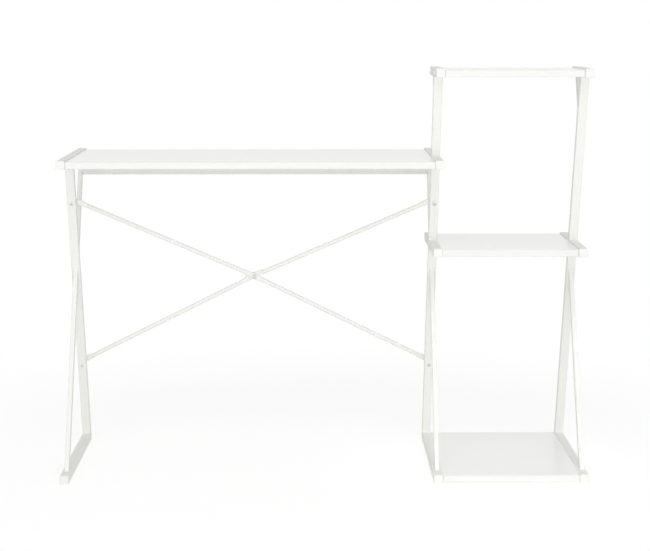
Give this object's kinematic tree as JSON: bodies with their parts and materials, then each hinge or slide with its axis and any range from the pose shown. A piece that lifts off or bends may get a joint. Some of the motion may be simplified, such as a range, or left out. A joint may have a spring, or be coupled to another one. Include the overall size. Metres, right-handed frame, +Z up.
{
  "type": "computer desk",
  "caption": "White computer desk: a thin board top on welded X-shaped tube frames with a crossed rod brace, and a narrow, taller open shelf unit at its right end.",
  "frame": {"origin": "on the floor under the middle of the bounding box", "axes": "+X to the right along the desk as seen by its user, +Y to the rear, +Z up"},
  "size_m": [1.2166, 0.45, 0.947],
  "materials": {
    "frame_paint": "white powder coat, satin",
    "board_laminate": "white laminate on particle board, satin",
    "plug_plastic": "white moulded plastic, matt",
    "zinc_steel": "plated steel"
  },
  "bodies": {
    "root": {"board_screws": "zinc_steel", "bottom_shelf_board": "board_laminate", "brace_centre_bolt": "zinc_steel", "brace_centre_nut": "zinc_steel", "brace_centre_washers": "zinc_steel", "brace_end_bolts": "zinc_steel", "brace_end_nuts": "zinc_steel", "brace_rod_front": "frame_paint", "brace_rod_rear": "frame_paint", "centre_cross_leg_lower": "frame_paint", "centre_cross_leg_stub": "frame_paint", "centre_cross_leg_upper": "frame_paint", "centre_desk_rail_front": "frame_paint", "centre_desk_rail_rear": "frame_paint", "centre_foot": "frame_paint", "centre_main_leg": "frame_paint", "centre_shelf_rail_front": "frame_paint", "centre_shelf_rail_rear": "frame_paint", "centre_top_rail": "frame_paint", "centre_top_strut": "frame_paint", "crossbar_bolts": "zinc_steel", "crossbar_nuts": "zinc_steel", "desk_board": "board_laminate", "left_cross_leg_lower": "frame_paint", "left_cross_leg_upper": "frame_paint", "left_desk_rail": "frame_paint", "left_foot": "frame_paint", "left_main_leg": "frame_paint", "middle_shelf_board": "board_laminate", "rear_crossbar": "frame_paint", "right_cross_leg_lower": "frame_paint", "right_cross_leg_stub": "frame_paint", "right_foot": "frame_paint", "right_main_leg": "frame_paint", "right_shelf_rail_front": "frame_paint", "right_shelf_rail_rear": "frame_paint", "right_top_rail": "frame_paint", "right_top_strut": "frame_paint", "top_shelf_board": "board_laminate", "tube_end_plugs": "plug_plastic"}
  },
  "joints": []
}
